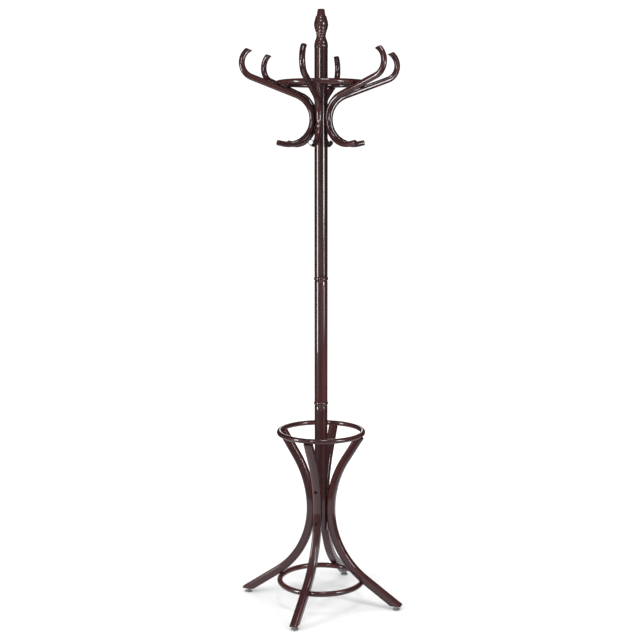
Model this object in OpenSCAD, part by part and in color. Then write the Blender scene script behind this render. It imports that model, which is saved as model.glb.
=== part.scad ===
// Standing coat rack in bent wood: a three-section pole with a turned finial, six S-shaped arms
// and a hat ring at the top, four bent legs, an umbrella ring on their upper ends, a lower ring
// under them, and a levelling glide in each foot.
// Millimetres, +Z up. The origin is on the floor, on the axis of the pole.

/* [Pole] */
// Height of the stand, from the floor to the top of the finial
total_h = 1870; // [1700:5:2250]
// Diameter of the pole
pole_d = 41; // [34:0.5:49.5]
// Height of the pole's lower end above the floor
pole_foot_h = 238; // [198:1:286]
// Height of the joint between the lower and the middle section
low_joint_h = 659.5; // [600:0.5:792]
// Height of the joint between the middle and the upper section
high_joint_h = 1055.5; // [900:0.5:1267]
// How far the turned bead at each joint stands proud of the pole
bead_proud = 1.75; // [1:0.25:3]
// Height of each bead
bead_h = 11; // [8:0.5:14]

/* [Finial] */
// Height of the finial
finial_h = 116; // [98:1:140]
// Largest diameter of the finial's bulb
finial_d = 44.5; // [37:0.5:53.5]
// How far the finial's base bead stands proud of the pole
finial_bead_proud = 1.25; // [0.5:0.25:3]
// Height of the finial's base bead
finial_base_h = 14.5; // [12:0.5:17.5]
// Height of the finial's waist above its base
finial_waist_h = 35.5; // [30:0.5:43]
// Diameter of the finial's waist
finial_waist_d = 29.5; // [24.5:0.5:35.5]
// How far the middle of the bulb lies below the tip
finial_bulb_drop = 45; // [37.5:0.5:54]
// How far the neck lies below the tip
finial_neck_drop = 21; // [17.5:0.5:25.5]
// Diameter of the finial's neck, below its tapered tip
finial_neck_d = 27.5; // [23:0.5:33]
// How far the bulb's upper edge stands out round the neck
finial_shoulder = 2.5; // [1:0.25:4]
// Diameter of the finial's flat tip
finial_tip_d = 20.5; // [17:0.5:22]

/* [Arms] */
// Direction of the first arm, in degrees from +X
arm_turn = 17.4; // [0:0.1:59]
// How far the arms' seats on the pole lie below the top of the stand
arm_drop = 329; // [300:0.5:360]
// Radius of each arm's lower curl, along its middle
curl_r = 76.5; // [63.5:0.5:92]
// Radius of each arm's upper hook, along its middle
hook_r = 44.5; // [37:0.5:53.5]
// Distance from the pole's axis to the middle of the hook, at its farthest
arm_reach = 248; // [225:1:300]
// Slope of the arms' straight run, in degrees
arm_slope = 20; // [14:0.1:24]
// Slope of the lower curl's end, in degrees
curl_end_slope = 11.5; // [0:0.5:20]
// Length of the straight end of the lower curl
curl_end_l = 21; // [17.5:0.5:30]
// Heading of the hook at its tip, in degrees from level
hook_end_turn = 151; // [130:1:165]
// Diameter of the arms in the middle
arm_d = 19.5; // [16.5:0.5:23.5]
// Diameter of the arms at the hook's tip
hook_tip_d = 17.5; // [14.5:0.5:21]
// Diameter of the arms at the lower end
curl_tip_d = 16.5; // [14:0.5:20]
// How deep each arm is coped over the pole
arm_cope = 2.4; // [1.5:0.1:4]

/* [Legs] */
// Direction of the front leg, in degrees from +X
leg_turn = 251.5; // [225:0.5:270]
// Width of a leg
leg_w = 25.5; // [21:0.5:31]
// Thickness of a leg, in the plane that it is bent in
leg_t = 26.5; // [22:0.5:32]
// Radius of the leg's rounded edges
leg_edge_r = 7; // [3:0.5:8.5]
// How deep each leg is hollowed over the pole
leg_cope = 0.3; // [0.2:0.1:1.5]
// Distance from the pole's axis to the axis of a glide
foot_reach = 252.5; // [210:0.5:303]
// Distance from the axis of a glide to the sawn end of the leg
foot_end = 17; // [14:0.5:21]
// Radius of the lower bend
low_bend_r = 270; // [225:1:324]
// Lean of the leg below the lower bend, in degrees from upright
low_lean = 55.4; // [50:0.1:60]
// Radius of the upper bend
high_bend_r = 323; // [269:1:388]
// Lean of the leg above the upper bend, in degrees from upright
high_lean = 31.6; // [26:0.1:38]
// Rise of the leg's upper end above its upright waist
leg_top_rise = 246.5; // [205:0.5:296]
// How far the lower bolt of a leg lies below its waist
leg_bolt_drop = 36.8; // [30:0.2:44]
// Distance between the two bolts of a leg
leg_bolt_pitch = 104.5; // [87:0.5:126]

/* [Rings] */
// Radius of the hat ring
hat_ring_r = 131; // [109:0.5:158]
// Diameter of the hat ring's rod
hat_rod_d = 15.5; // [13:0.5:19]
// Diameter of the umbrella ring's rod
umbrella_rod_d = 16; // [13:0.5:19.5]
// Radius of the lower ring
low_ring_r = 133; // [110:0.5:160]
// Diameter of the lower ring's rod
low_rod_d = 17.5; // [14.5:0.5:21]
// How deep each ring sits in what carries it
ring_seat = 0.8; // [0.4:0.1:2]

/* [Glides] */
// Height of the legs' undersides when the glides are screwed home
glide_h = 14; // [11:0.5:17]
// Diameter of a glide's pad
glide_pad_d = 22.5; // [18.5:0.5:27]
// Height of a glide's pad
glide_pad_h = 4.5; // [3.5:0.5:6]
// Diameter of a glide's neck, above the pad
glide_neck_d = 12; // [10:0.5:14.5]
// Diameter of a glide's threaded stem
stem_d = 8; // [6:0.5:9.5]
// Length of a glide's threaded stem
stem_l = 10.5; // [8:0.5:11]
// How far a glide screws out
glide_travel = 6; // [4:0.5:7.5]

/* [Fasteners] */
// Diameter of a leg bolt's shank
bolt_d = 6; // [5:0.5:7.5]
// Diameter of the recess for a leg bolt's head
bolt_head_d = 11; // [9:0.5:13.5]
// How deep a leg bolt bites into the pole
bolt_bite = 13.5; // [11:0.5:15]
// Diameter of an arm screw's shank
screw_d = 4; // [3:0.5:5]
// Diameter of the recess for an arm screw's head
screw_head_d = 8; // [6.5:0.5:10]
// How deep an arm screw bites into the pole
screw_bite = 11.5; // [9.5:0.5:14]
// How far the upper screw of an arm lies below the arm's seat
arm_screw_drop = 5.5; // [4.5:0.5:7]
// Distance between the two screws of an arm
arm_screw_pitch = 16; // [13:0.5:20]
// Diameter of a ring screw's shank
pin_d = 3; // [2.5:0.5:4]
// Diameter of the recess for a ring screw's head
pin_head_d = 6; // [5:0.5:7.5]
// Diameter of the threaded studs in the pole
stud_d = 10; // [8:0.5:12]
// Length of the threaded studs in the pole
stud_l = 70; // [58:1:84]
// Length of the threaded inserts in the pole
insert_l = 30; // [25:1:36]
// Wall of the threaded inserts
insert_wall = 2; // [1.5:0.25:2.5]

/* [Hidden] */

$fn = 64;
eps = 0.01;
arm_count = 6;
leg_count = 4;
section_sides = 16;
wood = [0.30, 0.12, 0.11];
steel = [0.72, 0.72, 0.74];
brass = [0.75, 0.62, 0.35];
dark_metal = [0.30, 0.34, 0.33];

pole_r = pole_d / 2;
finial_z = total_h - finial_h;

// Middle line of an arm: lower end, curl, straight run, hook. Distances are from the pole's axis.
seat_z = total_h - arm_drop;
curl_x = pole_r + arm_d / 2 - arm_cope + curl_r;
run_x = curl_x - curl_r * sin(arm_slope);
run_z = seat_z + curl_r * cos(arm_slope);
hook_x = arm_reach - hook_r;
run_end_x = hook_x + hook_r * sin(arm_slope);
hook_z = run_z + (run_end_x - run_x) * tan(arm_slope) + hook_r * cos(arm_slope);
curl_start = 180 + curl_end_slope;
// The arm thins by this much just before its lower end, and this much before its hook
curl_taper = 1;
hook_taper = 1.6;
// The hook's end is sawn off obliquely, so its inner edge runs on as a beak
beak = tan(38);

// Middle line of a leg, from the foot up
waist_x = pole_r + leg_t / 2 - leg_cope;
low_bend_x = waist_x + low_bend_r;
knee_x = low_bend_x - low_bend_r * cos(low_lean);
knee_drop = low_bend_r * sin(low_lean);
foot_lift = 1;
foot_mid_z = glide_h + foot_lift;
waist_z = foot_mid_z + (foot_reach - knee_x) / tan(low_lean) + knee_drop;
leg_end_x = foot_reach + foot_end;
end_spare = 8;
shoulder_x = waist_x + high_bend_r * (1 - cos(high_lean));
shoulder_z = waist_z + high_bend_r * sin(high_lean);
leg_top_z = waist_z + leg_top_rise;
leg_top_x = shoulder_x + (leg_top_z - shoulder_z) * tan(high_lean);

// Rings
hat_ring_z = run_z + (hat_ring_r - run_x) * tan(arm_slope)
             + (arm_d / 2 + hat_rod_d / 2 - ring_seat) / cos(arm_slope);
umbrella_lift = umbrella_rod_d / 2 - ring_seat;
umbrella_ring_r = leg_top_x + umbrella_lift * sin(high_lean);
umbrella_ring_z = leg_top_z + umbrella_lift * cos(high_lean);
low_ring_reach = low_bend_r + leg_t / 2 + low_rod_d / 2 - ring_seat;
low_ring_z = waist_z - sqrt(pow(low_ring_reach, 2) - pow(low_bend_x - low_ring_r, 2));
low_ring_lean = atan2(low_bend_x - low_ring_r, waist_z - low_ring_z);

// Joints of the pole
insert_d = stud_d + 2 * insert_wall;
joint_zs = [low_joint_h, high_joint_h, finial_z];
// A stud stands this much more above its joint than below it
stud_rise = 3;
stud_tip = 1.5;

// Screws and bolts
hole_spare = 0.5;
seat_gap = 0.2;
screw_head_h = 2.4;
screw_sink = 0.4;
screw_key_d = 2.6;
bolt_head_h = 3.6;
bolt_sink = 1.2;
bolt_key_d = 5;
pin_head_h = 2;
pin_sink = 1;
pin_key_d = 2;
head_play = 0.4;
bolt_head_play = 0.6;
screw_zs = [seat_z - arm_screw_drop, seat_z - arm_screw_drop - arm_screw_pitch];
bolt_low_z = waist_z - leg_bolt_drop;
bolt_zs = [bolt_low_z, bolt_low_z + leg_bolt_pitch];
hat_pin_l = hat_rod_d + 9;
umbrella_pin_l = umbrella_rod_d + 20;
low_pin_l = low_rod_d + 14;

// Glides
glide_insert_d = stem_d + 3;
glide_play = 0.05;

function spread(a, b, t) = a + (b - a) * t;

// A station of a bent rod is [distance from axis, height, heading, size, skew of the section]
function bend(cx, cz, r, from, to, steps, size_a, size_b, first = 0, skew_b = 0) =
    [for (i = [first : steps])
        let (t = i / steps, h = spread(from, to, t), side = to > from ? 1 : -1)
        [cx + side * r * sin(h), cz - side * r * cos(h), h, spread(size_a, size_b, t),
         skew_b * max(0, 3 * t - 2)]];

arm_line = concat(
    [for (i = [0 : 2])
        let (t = i / 3, l = curl_end_l * (1 - t))
        [curl_x + curl_r * sin(curl_end_slope) + l * cos(curl_end_slope),
         seat_z - curl_r * cos(curl_end_slope) + l * sin(curl_end_slope),
         curl_start, spread(curl_tip_d, curl_tip_d + curl_taper, t) / 2, 0]],
    bend(curl_x, seat_z, curl_r, curl_start, arm_slope, 22, (curl_tip_d + curl_taper) / 2, arm_d / 2),
    [for (i = [1 : 4])
        let (t = i / 5)
        [spread(run_x, run_end_x, t), run_z + (run_end_x - run_x) * t * tan(arm_slope), arm_slope,
         spread(arm_d, hook_tip_d + hook_taper, max(0, t * 1.6 - 0.6)) / 2, 0]],
    bend(hook_x, hook_z, hook_r, arm_slope, hook_end_turn, 18, (hook_tip_d + hook_taper) / 2,
         hook_tip_d / 2, skew_b = beak));

leg_line = concat(
    [for (i = [0 : 2])
        let (x = spread(leg_end_x + end_spare, knee_x, i / 3))
        [x, waist_z - knee_drop - (x - knee_x) / tan(low_lean), 90 + low_lean, 1, 0]],
    bend(low_bend_x, waist_z, low_bend_r, 90 + low_lean, 90, 9, 1, 1),
    bend(waist_x + high_bend_r, waist_z, high_bend_r, 90, 90 - high_lean, 7, 1, 1, first = 1),
    [for (i = [1 : 2])
        [spread(shoulder_x, leg_top_x, i / 2), spread(shoulder_z, leg_top_z, i / 2),
         90 - high_lean, 1, 0]]);

round_section = [for (i = [0 : section_sides - 1])
    let (a = (i + 0.5) * 360 / section_sides) [cos(a), sin(a)]];

leg_section = [for (q = [0 : 3], i = [0 : 3])
    let (a = q * 90 + i * 30, sx = (q == 0 || q == 3) ? 1 : -1, sy = q < 2 ? 1 : -1)
    [sx * (leg_t / 2 - leg_edge_r) + leg_edge_r * cos(a),
     sy * (leg_w / 2 - leg_edge_r) + leg_edge_r * sin(a)]];

// A rod along a line of stations in the XZ plane
module bent_rod(stations, section) {
    n = len(section);
    m = len(stations);
    points = [for (s = stations, p = section)
        [s[0] - sin(s[2]) * p[0] * s[3] + cos(s[2]) * p[0] * s[3] * s[4],
         p[1] * s[3],
         s[1] + cos(s[2]) * p[0] * s[3] + sin(s[2]) * p[0] * s[3] * s[4]]];
    sides = [for (i = [0 : m - 2], j = [0 : n - 1], half = [0, 1])
        let (k = (j + 1) % n, a = i * n + j, b = i * n + k, c = a + n, d = b + n)
        half == 0 ? [a, b, c] : [b, d, c]];
    polyhedron(points, concat(sides, [[for (j = [n - 1 : -1 : 0]) j],
                                      [for (j = [0 : n - 1]) (m - 1) * n + j]]));
}

module torus(ring_r, rod_d) {
    rotate_extrude() translate([ring_r, 0]) circle(d = rod_d, $fn = 48);
}

// Round hole along X, from x = from to x = to, at height z
module cross_hole(d, from, to, z) {
    translate([from, 0, z]) rotate([0, 90, 0]) cylinder(d = d, h = to - from);
}

// A screw whose head's upper face is at the origin and whose shank points along -Z
module screw(shank_d, head_d, head_h, len, key_d) {
    point_d = 1;
    difference() {
        union() {
            translate([0, 0, -head_h]) cylinder(d = head_d, h = head_h);
            translate([0, 0, -len + shank_d]) cylinder(d = shank_d, h = len - shank_d - head_h / 2);
            translate([0, 0, -len]) cylinder(d1 = point_d, d2 = shank_d, h = shank_d + eps);
        }
        translate([0, 0, -head_h * 0.6]) cylinder(d = key_d, h = head_h, $fn = 6);
    }
}

module around(count, turn) {
    for (i = [0 : count - 1]) rotate([0, 0, turn + i * 360 / count]) children();
}

module wrap(a) { rotate([0, 0, a]) children(); }

// ---- Pole ----

// A length of the pole, from z0 to z1, with a turned bead at its upper end
module pole_length(z0, z1, top_bead) {
    groove = 1.2;
    groove_h = 2.5;
    edge = 1;
    bead_z = z1 - bead_h / 2;
    shaft_top = z1 - (top_bead ? bead_h + groove_h : 0);
    rotate_extrude($fn = 96)
        polygon(concat(
            [[0, z0], [pole_r - edge, z0], [pole_r, z0 + edge], [pole_r, shaft_top]],
            top_bead
                ? concat([[pole_r - groove, shaft_top + groove],
                          [pole_r - groove, z1 - bead_h]],
                         [for (i = [0 : 8])
                             let (a = -90 + i * 22.5)
                             [pole_r - groove + (bead_proud + groove) * cos(a),
                              bead_z + bead_h / 2 * sin(a)]])
                : [],
            [[0, z1]]));
}

module stud(z) {
    translate([0, 0, z - stud_l / 2 + stud_rise]) {
        translate([0, 0, stud_tip]) cylinder(d = stud_d, h = stud_l - 2 * stud_tip);
        cylinder(d1 = stud_d - 2 * stud_tip, d2 = stud_d, h = stud_tip + eps);
        translate([0, 0, stud_l - stud_tip - eps])
            cylinder(d1 = stud_d, d2 = stud_d - 2 * stud_tip, h = stud_tip + eps);
    }
}

// Space for the half of a stud above a joint, and for the insert and the half below it
module stud_hole_above(z) {
    translate([0, 0, z - eps]) cylinder(d = stud_d, h = stud_l / 2 + stud_rise + hole_spare);
}

module stud_hole_below(z) {
    depth = max(insert_l, stud_l / 2 - stud_rise) + hole_spare;
    translate([0, 0, z - insert_l]) cylinder(d = insert_d, h = insert_l + eps);
    translate([0, 0, z - depth]) cylinder(d = stud_d + 1, h = depth);
}

module upper_pole() {
    color(wood) difference() {
        pole_length(high_joint_h, finial_z, false);
        stud_hole_above(high_joint_h);
        stud_hole_below(finial_z);
        around(arm_count, arm_turn) for (z = screw_zs)
            cross_hole(screw_d, pole_r - screw_bite - hole_spare, pole_r + 5, z);
    }
}

module middle_pole() {
    color(wood) difference() {
        pole_length(low_joint_h, high_joint_h, true);
        stud_hole_above(low_joint_h);
        stud_hole_below(high_joint_h);
    }
}

module lower_pole() {
    color(wood) difference() {
        pole_length(pole_foot_h, low_joint_h, true);
        stud_hole_below(low_joint_h);
        around(leg_count, leg_turn) for (z = bolt_zs)
            cross_hole(bolt_d, pole_r - bolt_bite - hole_spare, pole_r + 5, z);
    }
}

module finial() {
    base_r = pole_r + finial_bead_proud;
    bulb_r = finial_d / 2;
    waist_r = finial_waist_d / 2;
    neck_r = finial_neck_d / 2;
    tip_r = finial_tip_d / 2;
    bulb_h = finial_h - finial_bulb_drop;
    neck_h = finial_h - finial_neck_drop;
    edge = 0.8;
    color(wood) difference() {
        translate([0, 0, finial_z]) rotate_extrude($fn = 96)
            polygon(concat(
                [[0, 0], [pole_r, 0]],
                [for (i = [0 : 6])
                    let (a = -60 + i * 20)
                    [pole_r - 1 + (base_r - pole_r + 1) * cos(a), finial_base_h / 2 * (1 + sin(a))]],
                [for (i = [1 : 6])
                    let (t = i / 6)
                    [spread(pole_r, waist_r, (1 - cos(180 * t)) / 2),
                     spread(finial_base_h, finial_waist_h, t)]],
                [for (i = [1 : 6])
                    let (t = i / 6)
                    [spread(waist_r, bulb_r, (1 - cos(180 * t)) / 2), spread(finial_waist_h, bulb_h, t)]],
                [for (i = [1 : 6])
                    let (t = i / 6)
                    [spread(bulb_r, neck_r + finial_shoulder, pow(t, 1.35)), spread(bulb_h, neck_h, t)]],
                [[neck_r, neck_h + edge], [tip_r + edge, finial_h - edge], [tip_r - edge, finial_h],
                 [0, finial_h]]));
        stud_hole_above(finial_z);
    }
}

module finial_stud() { color(steel) stud(finial_z); }
module upper_joint_stud() { color(steel) stud(high_joint_h); }
module lower_joint_stud() { color(steel) stud(low_joint_h); }

module pole_inserts() {
    color(brass) for (z = joint_zs) translate([0, 0, z - insert_l]) difference() {
        cylinder(d = insert_d, h = insert_l - hole_spare);
        translate([0, 0, -1]) cylinder(d = stud_d, h = insert_l + 2);
    }
}

// ---- Arms and hat ring ----

module arm(i) {
    color(wood) wrap(arm_turn + (i - 1) * 360 / arm_count) difference() {
        bent_rod(arm_line, round_section);
        cylinder(r = pole_r, h = total_h);
        translate([0, 0, hat_ring_z]) torus(hat_ring_r, hat_rod_d);
        for (z = screw_zs) {
            cross_hole(screw_d, pole_r - 5, pole_r + 40, z);
            cross_hole(screw_head_d, screw_x(z) - screw_head_h - seat_gap, pole_r + 60, z);
        }
        hat_pin_place() translate([0, 0, -hat_pin_l]) cylinder(d = pin_d, h = hat_pin_l);
    }
}

// Distance from the axis to the upper face of an arm screw's head, in the arm's face inside the curl
function screw_x(z) =
    curl_x - sqrt(pow(curl_r - arm_d / 2 + 1, 2) - pow(seat_z - z, 2)) - screw_sink;

module hat_pin_place() {
    translate([hat_ring_r, 0, hat_ring_z]) rotate([0, -arm_slope, 0])
        translate([0, 0, hat_rod_d / 2 - pin_sink]) children();
}

module arm_screws() {
    color(steel) around(arm_count, arm_turn) for (z = screw_zs)
        translate([screw_x(z), 0, z]) rotate([0, 90, 0])
            screw(screw_d, screw_head_d - head_play, screw_head_h, screw_x(z) - pole_r + screw_bite,
                  screw_key_d);
}

// A ring with a screw through it at each place where something carries it
module screwed_ring(ring_r, rod_d, z) {
    difference() {
        translate([0, 0, z]) torus(ring_r, rod_d);
        children();
    }
}

// The hole for a ring screw, with the recess for its head
module pin_hole(len) {
    translate([0, 0, -len]) cylinder(d = pin_d, h = len);
    translate([0, 0, -pin_head_h]) cylinder(d = pin_head_d, h = pin_head_h + 6);
}

module ring_screw(len) {
    screw(pin_d, pin_head_d - head_play, pin_head_h, len - seat_gap, pin_key_d);
}

module hat_ring() {
    color(wood) screwed_ring(hat_ring_r, hat_rod_d, hat_ring_z)
        around(arm_count, arm_turn) hat_pin_place() pin_hole(hat_pin_l);
}

module hat_ring_screws() {
    color(steel) around(arm_count, arm_turn) hat_pin_place() ring_screw(hat_pin_l);
}

// ---- Legs and their rings ----

module leg(i) {
    color(wood) wrap(leg_turn + (i - 1) * 360 / leg_count) difference() {
        bent_rod(leg_line, leg_section);
        cylinder(r = pole_r, h = total_h);
        translate([leg_end_x - 80, -leg_w, glide_h - 60]) cube([120, leg_w * 2, 60]);
        translate([leg_end_x, -leg_w, -1]) cube([60, leg_w * 2, 80]);
        translate([0, 0, umbrella_ring_z]) torus(umbrella_ring_r, umbrella_rod_d);
        translate([0, 0, low_ring_z]) torus(low_ring_r, low_rod_d);
        for (z = bolt_zs) {
            cross_hole(bolt_d, pole_r - 5, pole_r + 60, z);
            cross_hole(bolt_head_d, bolt_x(z) - bolt_head_h - seat_gap, pole_r + 60, z);
        }
        umbrella_pin_place() translate([0, 0, -umbrella_pin_l]) cylinder(d = pin_d, h = umbrella_pin_l);
        low_pin_place() translate([0, 0, -low_pin_l]) cylinder(d = pin_d, h = low_pin_l);
        translate([foot_reach, 0, 0]) cylinder(d = glide_insert_d, h = glide_h + stem_l + 1);
    }
}

// Distance from the axis to the upper face of a leg bolt's head, in the leg's face near its waist
function bolt_x(z) =
    let (r = z < waist_z ? low_bend_r : high_bend_r)
    waist_x + r - sqrt(pow(r - leg_t / 2, 2) - pow(waist_z - z, 2)) - bolt_sink;

module umbrella_pin_place() {
    translate([umbrella_ring_r, 0, umbrella_ring_z]) rotate([0, high_lean, 0])
        translate([0, 0, umbrella_rod_d / 2 - pin_sink]) children();
}

module low_pin_place() {
    translate([low_ring_r, 0, low_ring_z]) rotate([0, 180 + low_ring_lean, 0])
        translate([0, 0, low_rod_d / 2 - pin_sink]) children();
}

module leg_bolts() {
    color(dark_metal) around(leg_count, leg_turn) for (z = bolt_zs)
        translate([bolt_x(z), 0, z]) rotate([0, 90, 0])
            screw(bolt_d, bolt_head_d - bolt_head_play, bolt_head_h, bolt_x(z) - pole_r + bolt_bite,
                  bolt_key_d);
}

module umbrella_ring() {
    color(wood) screwed_ring(umbrella_ring_r, umbrella_rod_d, umbrella_ring_z)
        around(leg_count, leg_turn) umbrella_pin_place() pin_hole(umbrella_pin_l);
}

module umbrella_ring_screws() {
    color(steel) around(leg_count, leg_turn) umbrella_pin_place() ring_screw(umbrella_pin_l);
}

module lower_ring() {
    color(wood) screwed_ring(low_ring_r, low_rod_d, low_ring_z)
        around(leg_count, leg_turn) low_pin_place() pin_hole(low_pin_l);
}

module lower_ring_screws() {
    color(steel) around(leg_count, leg_turn) low_pin_place() ring_screw(low_pin_l);
}

// ---- Glides ----

module glide(i) {
    edge = 1;
    shoulder_h = 2;
    neck_top = glide_h - 0.1;
    pad_r = glide_pad_d / 2;
    stem_r = stem_d / 2;
    color(dark_metal) wrap(leg_turn + (i - 1) * 360 / leg_count) translate([foot_reach, 0, 0])
        rotate_extrude()
            polygon([[0, 0], [pad_r - edge, 0], [pad_r, edge], [pad_r, glide_pad_h - 1.5],
                     [pad_r - 1.5, glide_pad_h], [glide_neck_d / 2, glide_pad_h + shoulder_h],
                     [glide_neck_d / 2, neck_top], [stem_r, neck_top],
                     [stem_r, glide_h + stem_l - edge], [stem_r - edge, glide_h + stem_l],
                     [0, glide_h + stem_l]]);
}

module glide_inserts() {
    color(brass) around(leg_count, leg_turn) translate([foot_reach, 0, glide_h]) difference() {
        cylinder(d = glide_insert_d, h = stem_l);
        translate([0, 0, -1]) cylinder(d = stem_d + 2 * glide_play, h = stem_l + 2);
    }
}

finial();
finial_stud();
upper_pole();
upper_joint_stud();
middle_pole();
lower_joint_stud();
lower_pole();
pole_inserts();
arm(1);  // arm_1
arm(2);  // arm_2
arm(3);  // arm_3
arm(4);  // arm_4
arm(5);  // arm_5
arm(6);  // arm_6
arm_screws();
hat_ring();
hat_ring_screws();
leg(1);  // leg_1
leg(2);  // leg_2
leg(3);  // leg_3
leg(4);  // leg_4
leg_bolts();
umbrella_ring();
umbrella_ring_screws();
lower_ring();
lower_ring_screws();
glide(1);  // glide_1
glide(2);  // glide_2
glide(3);  // glide_3
glide(4);  // glide_4
glide_inserts();
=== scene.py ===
import math

import bmesh
import bpy
import numpy as np
from mathutils import Matrix, Vector


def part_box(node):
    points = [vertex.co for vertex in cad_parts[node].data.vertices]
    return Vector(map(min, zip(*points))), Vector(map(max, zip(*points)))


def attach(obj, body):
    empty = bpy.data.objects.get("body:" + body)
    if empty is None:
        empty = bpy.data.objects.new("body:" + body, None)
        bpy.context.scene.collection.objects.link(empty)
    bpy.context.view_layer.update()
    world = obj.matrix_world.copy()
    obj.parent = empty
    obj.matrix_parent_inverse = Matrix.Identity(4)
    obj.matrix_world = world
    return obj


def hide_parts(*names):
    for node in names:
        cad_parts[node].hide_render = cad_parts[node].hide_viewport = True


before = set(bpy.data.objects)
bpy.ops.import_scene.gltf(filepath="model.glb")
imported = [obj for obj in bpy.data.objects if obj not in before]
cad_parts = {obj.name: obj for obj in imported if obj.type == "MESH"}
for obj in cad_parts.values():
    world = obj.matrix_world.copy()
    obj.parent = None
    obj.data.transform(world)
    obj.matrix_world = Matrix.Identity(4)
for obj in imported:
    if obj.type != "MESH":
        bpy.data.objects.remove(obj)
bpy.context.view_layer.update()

# ---- Sizes, in metres. Those of the arms and legs repeat the CAD source's. ----

MM = 0.001

ARM_COUNT = 6
ARM_TURN = math.radians(17.4)
ARM_DROP = 329 * MM
CURL_R = 76.5 * MM
HOOK_R = 44.5 * MM
ARM_REACH = 248 * MM
ARM_SLOPE = math.radians(20)
CURL_END_SLOPE = math.radians(11.5)
CURL_END_L = 21 * MM
HOOK_END_TURN = math.radians(151)
ARM_R = 9.75 * MM
HOOK_TIP_R = 8.75 * MM
CURL_TIP_R = 8.25 * MM
ARM_COPE = 2.4 * MM
BEAK = math.tan(math.radians(38))
SCREW_DROP = 5.5 * MM
SCREW_PITCH = 16 * MM
SCREW_RECESS_R = 4 * MM
SCREW_R = 2 * MM
SCREW_SINK = 2.6 * MM
SCREW_HOLE_L = 30 * MM
PIN_R = 1.5 * MM
PIN_RECESS_R = 3 * MM
PIN_SINK = 1 * MM
RING_PIN_SINK = 2 * MM

LEG_COUNT = 4
LEG_TURN = math.radians(251.5)
LEG_W = 25.5 * MM
LEG_T = 26.5 * MM
LEG_EDGE_R = 7 * MM
LEG_COPE = 0.3 * MM
FOOT_REACH = 252.5 * MM
FOOT_END = 17 * MM
LOW_BEND_R = 270 * MM
LOW_LEAN = math.radians(55.4)
HIGH_BEND_R = 323 * MM
HIGH_LEAN = math.radians(31.6)
LEG_TOP_RISE = 246.5 * MM
BOLT_DROP = 36.8 * MM
BOLT_PITCH = 104.5 * MM
BOLT_RECESS_R = 5.5 * MM
BOLT_R = 3 * MM
BOLT_SINK = 3.8 * MM
BOLT_HOLE_L = 45 * MM

GLIDE_H = 14 * MM
GLIDE_PAD_H = 4.5 * MM
GLIDE_NECK_R = 6 * MM
STEM_R = 4 * MM
THREAD_PITCH = 1.25 * MM
THREAD_DEPTH = 0.6 * MM
INSERT_R = 5.5 * MM
INSERT_L = 11.5 * MM

BEAD_H = 11 * MM
BEAD_PROUD = 1.75 * MM
GROOVE = 1.2 * MM
GROOVE_H = 2.5 * MM

# Room between a cutter and the piece that fills its hole
PLAY = 0.05 * MM
# How far a cutter runs on past the wood
OVERRUN = 100 * MM
HOLE_SIDES = 48


def size_of(node):
    low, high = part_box(node)
    return high - low


POLE_R = size_of("upper_pole").x / 2
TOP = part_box("finial")[1].z
FINIAL_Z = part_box("finial")[0].z
HIGH_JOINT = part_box("middle_pole")[1].z
LOW_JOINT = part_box("lower_pole")[1].z
POLE_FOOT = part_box("lower_pole")[0].z


# ---- Mesh tools ----

def spread(a, b, t):
    return a + (b - a) * t


def mesh_piece(name, points, faces):
    """A new object holding these points and faces, with its face normals turned outwards."""
    mesh = bpy.data.meshes.new(name)
    mesh.from_pydata([tuple(p) for p in points], [], [tuple(f) for f in faces])
    bm = bmesh.new()
    bm.from_mesh(mesh)
    bmesh.ops.recalc_face_normals(bm, faces=bm.faces)
    bm.to_mesh(mesh)
    bm.free()
    piece = bpy.data.objects.new(name, mesh)
    bpy.context.scene.collection.objects.link(piece)
    return piece


def skin(rows, columns, closed_ends=True):
    """Quads over rows of points, each row a closed loop, with a face on each end."""
    faces = []
    for i in range(rows - 1):
        for j in range(columns):
            k = (j + 1) % columns
            a = i * columns
            faces.append((a + j, a + k, a + columns + k, a + columns + j))
    if closed_ends:
        faces.append(range(columns - 1, -1, -1))
        faces.append(range((rows - 1) * columns, rows * columns))
    return faces


def lathe(name, profile, sides=128):
    """A turned piece about +Z. The profile runs from the axis side at the bottom to that at the top."""
    turns = [2 * math.pi * (j + 0.5) / sides for j in range(sides)]
    points = [(r * math.cos(a), r * math.sin(a), z) for r, z in profile for a in turns]
    return mesh_piece(name, points, skin(len(profile), sides))


def arc(centre_r, centre_z, r, start, end, steps, r_z=None):
    """Points of a profile's arc; the angles are in degrees from level, outwards."""
    r_z = r if r_z is None else r_z
    made = []
    for i in range(steps + 1):
        a = math.radians(spread(start, end, i / steps))
        made.append((centre_r + r * math.cos(a), centre_z + r_z * math.sin(a)))
    return made


def torus_points(ring_r, rod_r, turns, sides):
    for i in range(turns):
        a = 2 * math.pi * (i + 0.5) / turns
        for j in range(sides):
            b = 2 * math.pi * j / sides
            r = ring_r + rod_r * math.cos(b)
            yield (r * math.cos(a), r * math.sin(a), rod_r * math.sin(b))


def torus(name, ring_r, rod_r, z, turns=240, sides=40):
    points = [(x, y, z + h) for x, y, h in torus_points(ring_r, rod_r, turns, sides)]
    faces = skin(turns, sides, closed_ends=False)
    last = (turns - 1) * sides
    faces += [(last + j, last + (j + 1) % sides, (j + 1) % sides, j) for j in range(sides)]
    return mesh_piece(name, points, faces)


def shaped(piece, crisp=32):
    """Smooth shading, with crisp edges where faces meet at more than this many degrees."""
    piece.data.shade_smooth()
    piece.data.set_sharp_from_angle(angle=math.radians(crisp))


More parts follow.
